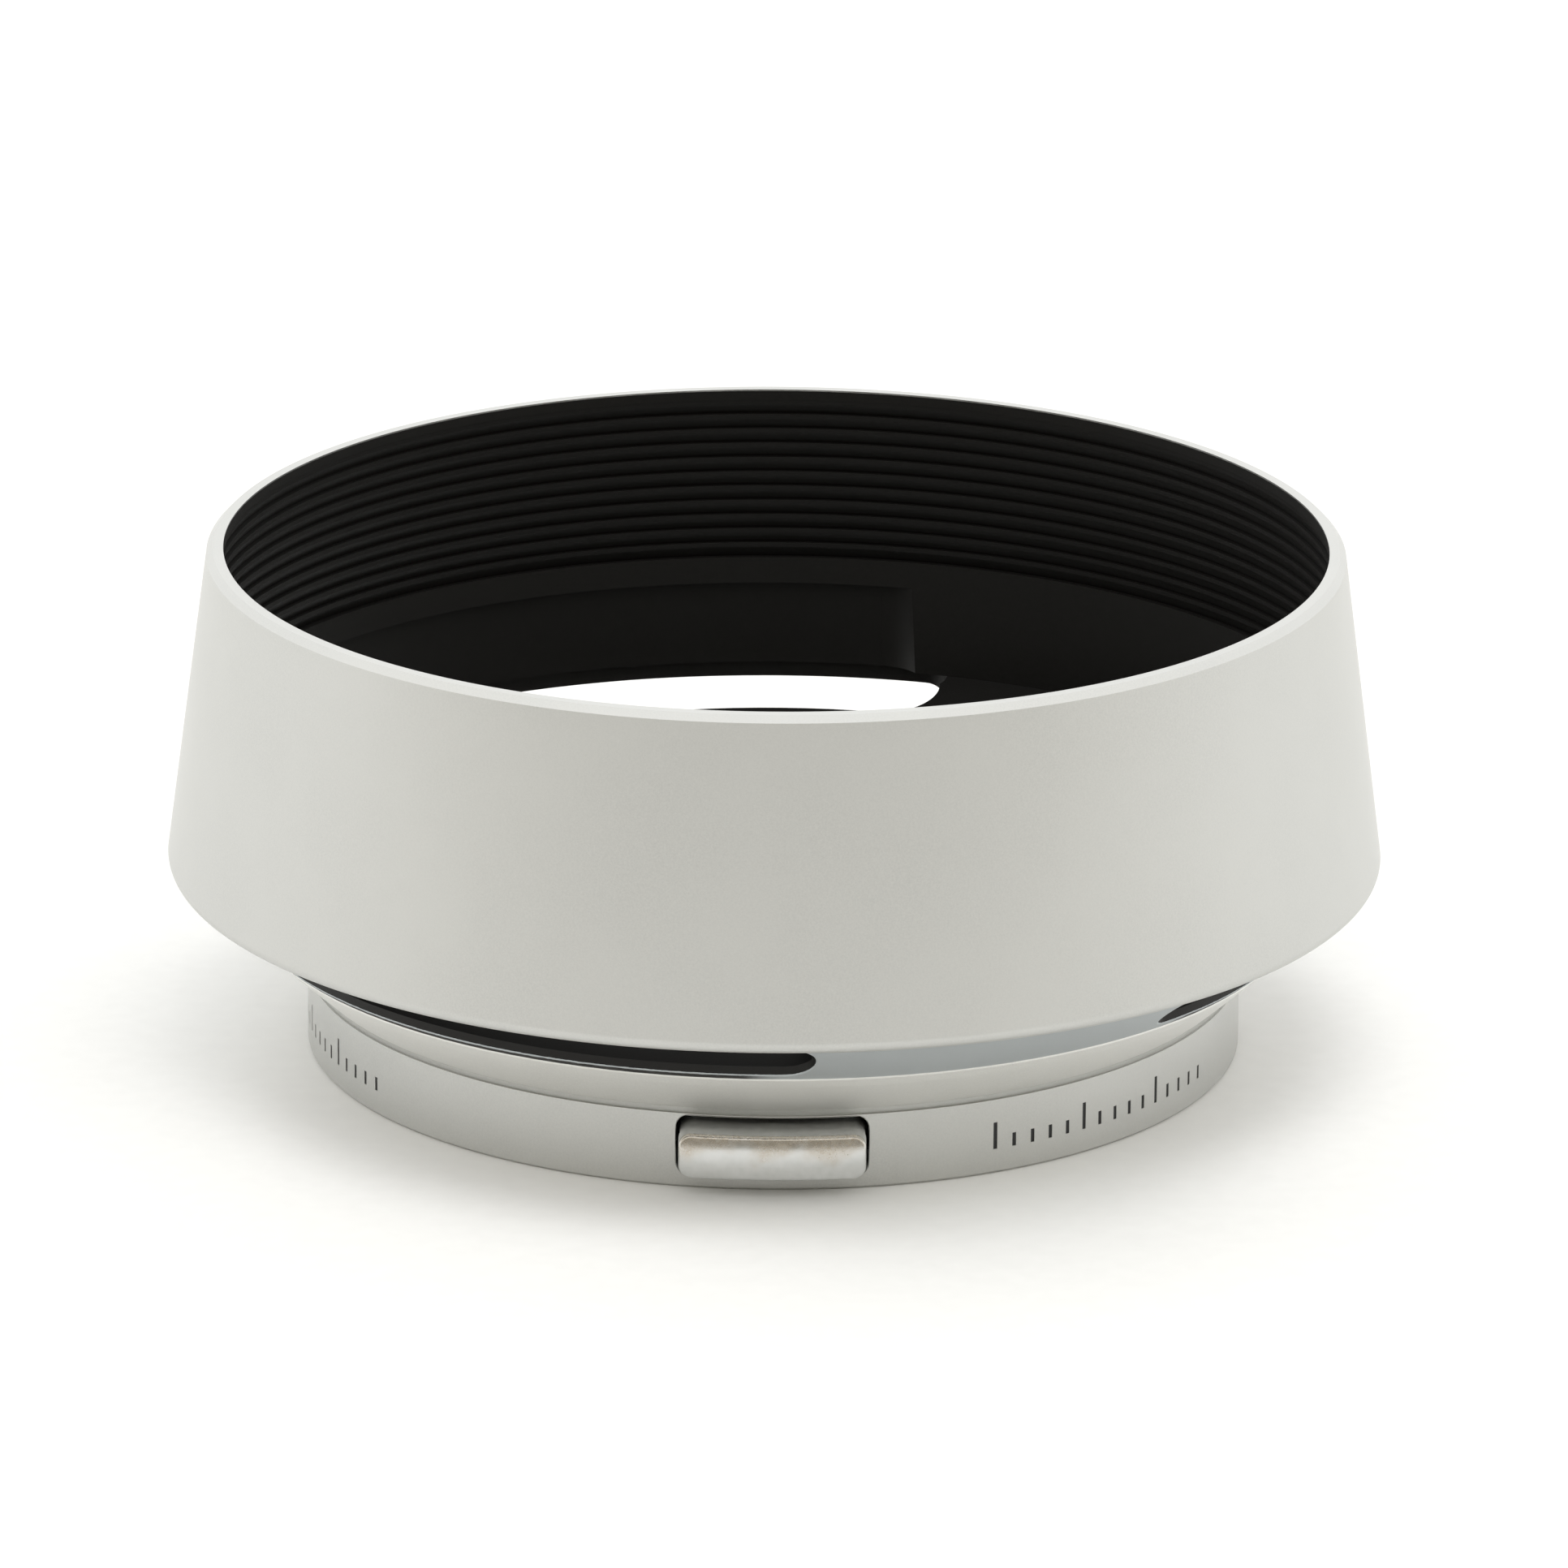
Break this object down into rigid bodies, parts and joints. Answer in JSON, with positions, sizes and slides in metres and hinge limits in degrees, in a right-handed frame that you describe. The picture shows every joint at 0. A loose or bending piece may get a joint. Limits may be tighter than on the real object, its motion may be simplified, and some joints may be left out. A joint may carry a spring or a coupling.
{
  "type": "lens hood",
  "caption": "Round vented metal lens hood: conical shade with black baffles, kidney vents, and a clip-on collar with sprung release buttons.",
  "frame": {"origin": "centre of the collar's lower face, which the hood stands on", "axes": "+Z along the lens axis, from the lens towards the subject; the front button faces -Y and the rear button faces +Y"},
  "size_m": [0.0752, 0.0752, 0.0318],
  "materials": {
    "satin_silver": "fine bead-blasted, satin silver anodised",
    "polished_silver": "polished, slightly worn along the upper edge",
    "matt_black": "matt black anti-reflection finish",
    "black_metal": "black anodised, satin",
    "mark_paint": "black engraving paint",
    "flock": "short black flock",
    "steel": "turned, bright",
    "spring_steel": "drawn wire"
  },
  "bodies": {
    "hood": {"shade_cone": "satin_silver", "baffle_liner": "matt_black", "vent_ring": "satin_silver", "mount_collar": "satin_silver", "engraved_marks": "mark_paint", "bore_sleeve": "black_metal", "lens_seat_pad": "flock", "bottom_cover": "black_metal", "left_guide_posts": "steel", "right_guide_posts": "steel", "cover_screws": "steel", "collar_screws": "steel"},
    "front_button": {"front_button": "polished_silver", "front_latch_ring": "black_metal", "front_button_screws": "steel", "front_left_spring": "spring_steel", "front_right_spring": "spring_steel"},
    "rear_button": {"rear_button": "polished_silver", "rear_latch_ring": "black_metal", "rear_button_screws": "steel", "rear_left_spring": "spring_steel", "rear_right_spring": "spring_steel"}
  },
  "joints": [
    {"name": "front_button_press", "type": "slide", "parent": "hood", "child": "front_button", "axis": [0, 1, 0], "range_m": [0, 0.0009], "stiffness_N_per_m": 400, "springref_m": -0.001, "deforming": ["front_left_spring", "front_right_spring"]},
    {"name": "rear_button_press", "type": "slide", "parent": "hood", "child": "rear_button", "axis": [0, -1, 0], "range_m": [0, 0.0009], "stiffness_N_per_m": 400, "springref_m": -0.001, "deforming": ["rear_left_spring", "rear_right_spring"]}
  ]
}
